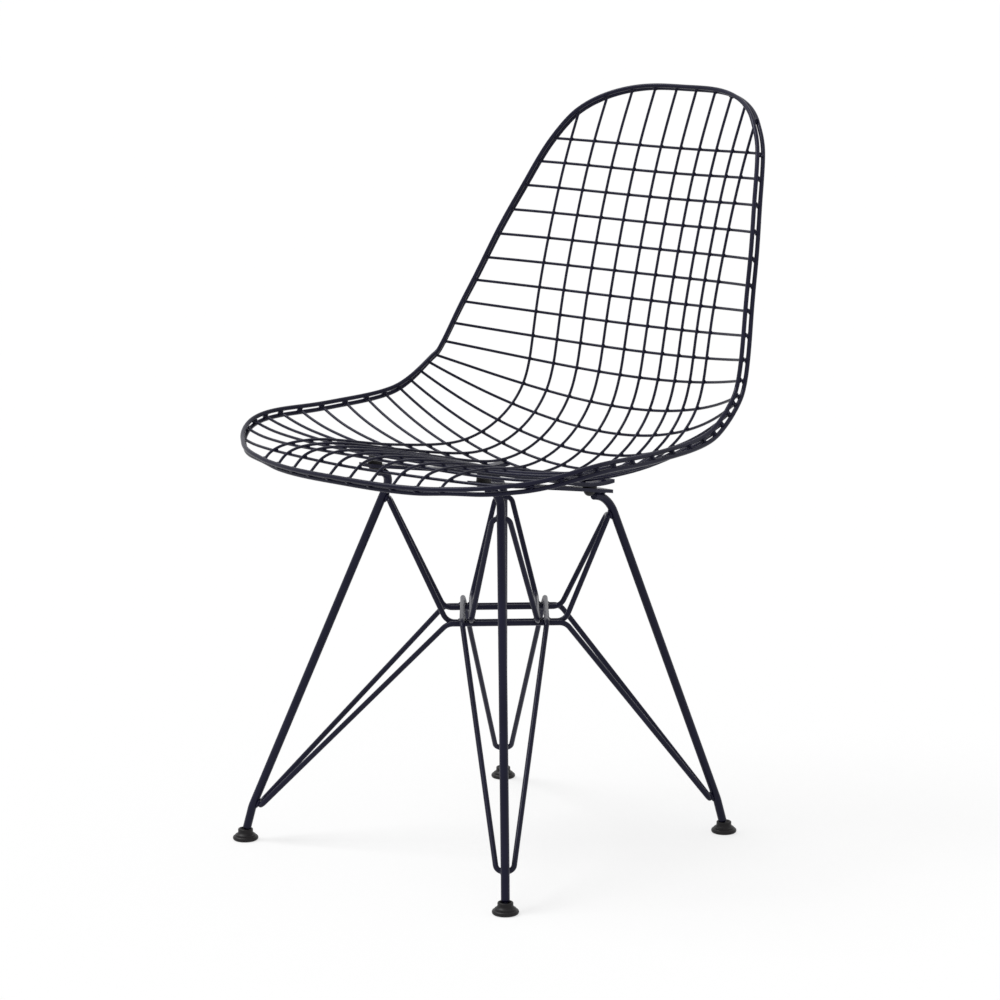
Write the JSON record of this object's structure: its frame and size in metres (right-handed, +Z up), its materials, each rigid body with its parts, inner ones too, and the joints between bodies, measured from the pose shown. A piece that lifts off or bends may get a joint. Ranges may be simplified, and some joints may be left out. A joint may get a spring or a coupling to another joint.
{
  "type": "wire mesh chair",
  "caption": "Side chair with a welded wire mesh seat shell on a crossed wire rod base with self-levelling glides.",
  "frame": {"origin": "on the floor under the middle of the chair's outline seen from above", "axes": "+X to the right seen from the front, the front faces -Y, +Z up"},
  "size_m": [0.517, 0.58, 0.8377],
  "materials": {
    "coated_steel": "semi-gloss dark navy powder coat",
    "black_hardware": "semi-gloss black",
    "black_plastic": "satin moulded plastic"
  },
  "bodies": {
    "frame": {"cross_wire_01": "coated_steel", "cross_wire_02": "coated_steel", "cross_wire_03": "coated_steel", "cross_wire_04": "coated_steel", "cross_wire_05": "coated_steel", "cross_wire_06": "coated_steel", "cross_wire_07": "coated_steel", "cross_wire_08": "coated_steel", "cross_wire_09": "coated_steel", "cross_wire_10": "coated_steel", "cross_wire_11": "coated_steel", "cross_wire_12": "coated_steel", "cross_wire_13": "coated_steel", "cross_wire_14": "coated_steel", "cross_wire_15": "coated_steel", "cross_wire_16": "coated_steel", "cross_wire_17": "coated_steel", "cross_wire_18": "coated_steel", "cross_wire_19": "coated_steel", "cross_wire_20": "coated_steel", "cross_wire_21": "coated_steel", "cross_wire_22": "coated_steel", "cross_wire_23": "coated_steel", "cross_wire_24": "coated_steel", "cross_wire_25": "coated_steel", "long_wire_01": "coated_steel", "long_wire_02": "coated_steel", "long_wire_03": "coated_steel", "long_wire_04": "coated_steel", "long_wire_05": "coated_steel", "long_wire_06": "coated_steel", "long_wire_07": "coated_steel", "long_wire_08": "coated_steel", "long_wire_09": "coated_steel", "long_wire_10": "coated_steel", "rim_wire_inner": "coated_steel", "rim_wire_outer": "coated_steel", "leg_front_left": "coated_steel", "leg_front_right": "coated_steel", "leg_rear_left": "coated_steel", "leg_rear_right": "coated_steel", "brace_upper_front_left": "coated_steel", "brace_upper_front_right": "coated_steel", "brace_lower_front_left": "coated_steel", "brace_lower_front_right": "coated_steel", "base_strap_left": "coated_steel", "base_strap_right": "coated_steel", "seat_rail_left": "coated_steel", "seat_rail_right": "coated_steel", "mount_spacers": "black_plastic", "mount_screws": "black_hardware"},
    "glide_front_left_foot": {"glide_front_left": "black_plastic"},
    "glide_front_right_foot": {"glide_front_right": "black_plastic"},
    "glide_rear_left_foot": {"glide_rear_left": "black_plastic"},
    "glide_rear_right_foot": {"glide_rear_right": "black_plastic"}
  },
  "joints": [
    {"name": "glide_front_left_tilt", "type": "hinge", "parent": "frame", "child": "glide_front_left_foot", "pos_m": [-0.2026, -0.2389, 0.0076], "axis": [-0.7071, 0.7071, 0], "range_deg": [-2, 10]},
    {"name": "glide_front_right_tilt", "type": "hinge", "parent": "frame", "child": "glide_front_right_foot", "pos_m": [0.2026, -0.2389, 0.0076], "axis": [-0.7071, -0.7071, 0], "range_deg": [-2, 10]},
    {"name": "glide_rear_left_tilt", "type": "hinge", "parent": "frame", "child": "glide_rear_left_foot", "pos_m": [-0.1734, 0.1568, 0.0076], "axis": [0.7266, 0.6871, 0], "range_deg": [-2, 10]},
    {"name": "glide_rear_right_tilt", "type": "hinge", "parent": "frame", "child": "glide_rear_right_foot", "pos_m": [0.1734, 0.1568, 0.0076], "axis": [0.7266, -0.6871, 0], "range_deg": [-2, 10]}
  ]
}
